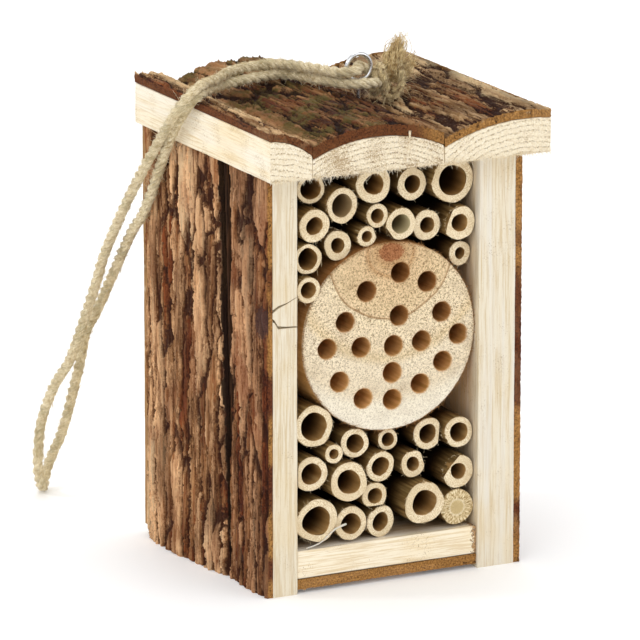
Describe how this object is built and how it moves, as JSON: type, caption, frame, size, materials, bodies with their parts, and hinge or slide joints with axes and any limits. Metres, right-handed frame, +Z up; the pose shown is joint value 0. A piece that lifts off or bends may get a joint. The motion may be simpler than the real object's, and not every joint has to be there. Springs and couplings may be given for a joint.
{
  "type": "insect hotel",
  "caption": "Small wooden insect hotel: bark-faced board walls, half-round slab roof, drilled log and bamboo canes, hung from a screw eye by a jute loop.",
  "frame": {"origin": "on the ground, below the centre of the roof", "axes": "+Z up, front with the nest holes towards -Y, +X to the right seen from the front"},
  "size_m": [0.1411, 0.202, 0.2099],
  "materials": {
    "sawn_wood": "rough sawn pale softwood",
    "end_grain_wood": "sawn end grain, fibrous",
    "bark": "stringy natural bark, matte",
    "bamboo": "dry cane with fibrous sawn ends",
    "jute": "three-strand twine, hairy",
    "plated_steel": "bright plated wire",
    "nail_steel": "plain wire nail"
  },
  "bodies": {
    "root": {"floor_board": "sawn_wood", "back_board": "sawn_wood", "left_front_board": "sawn_wood", "left_rear_board": "sawn_wood", "right_front_board": "sawn_wood", "right_rear_board": "sawn_wood", "floor_bark": "bark", "left_front_bark": "bark", "left_rear_bark": "bark", "right_front_bark": "bark", "right_rear_bark": "bark", "roof_left_bark": "bark", "roof_middle_bark": "bark", "roof_right_bark": "bark", "roof_left_slab": "end_grain_wood", "roof_middle_slab": "end_grain_wood", "roof_right_slab": "end_grain_wood", "log_block": "end_grain_wood", "roof_nails": "nail_steel", "floor_nails": "nail_steel", "back_nails": "nail_steel", "screw_eye": "plated_steel", "hanging_rope": "jute", "rope_knot": "jute", "rope_ends": "jute", "upper_cane_01": "bamboo", "upper_cane_02": "bamboo", "upper_cane_03": "bamboo", "upper_cane_04": "bamboo", "upper_cane_05": "bamboo", "upper_cane_06": "bamboo", "upper_cane_07": "bamboo", "upper_cane_08": "bamboo", "upper_cane_09": "bamboo", "upper_cane_10": "bamboo", "upper_cane_11": "bamboo", "upper_cane_12": "bamboo", "upper_cane_13": "bamboo", "upper_cane_14": "bamboo", "upper_cane_15": "bamboo", "lower_cane_01": "bamboo", "lower_cane_02": "bamboo", "lower_cane_03": "bamboo", "lower_cane_04": "bamboo", "lower_cane_05": "bamboo", "lower_cane_06": "bamboo", "lower_cane_07": "bamboo", "lower_cane_08": "bamboo", "lower_cane_09": "bamboo", "lower_cane_10": "bamboo", "lower_cane_11": "bamboo", "lower_cane_12": "bamboo", "lower_cane_13": "bamboo", "lower_cane_14": "bamboo", "lower_cane_15": "bamboo", "lower_cane_16": "bamboo", "lower_cane_17": "bamboo"}
  },
  "joints": []
}
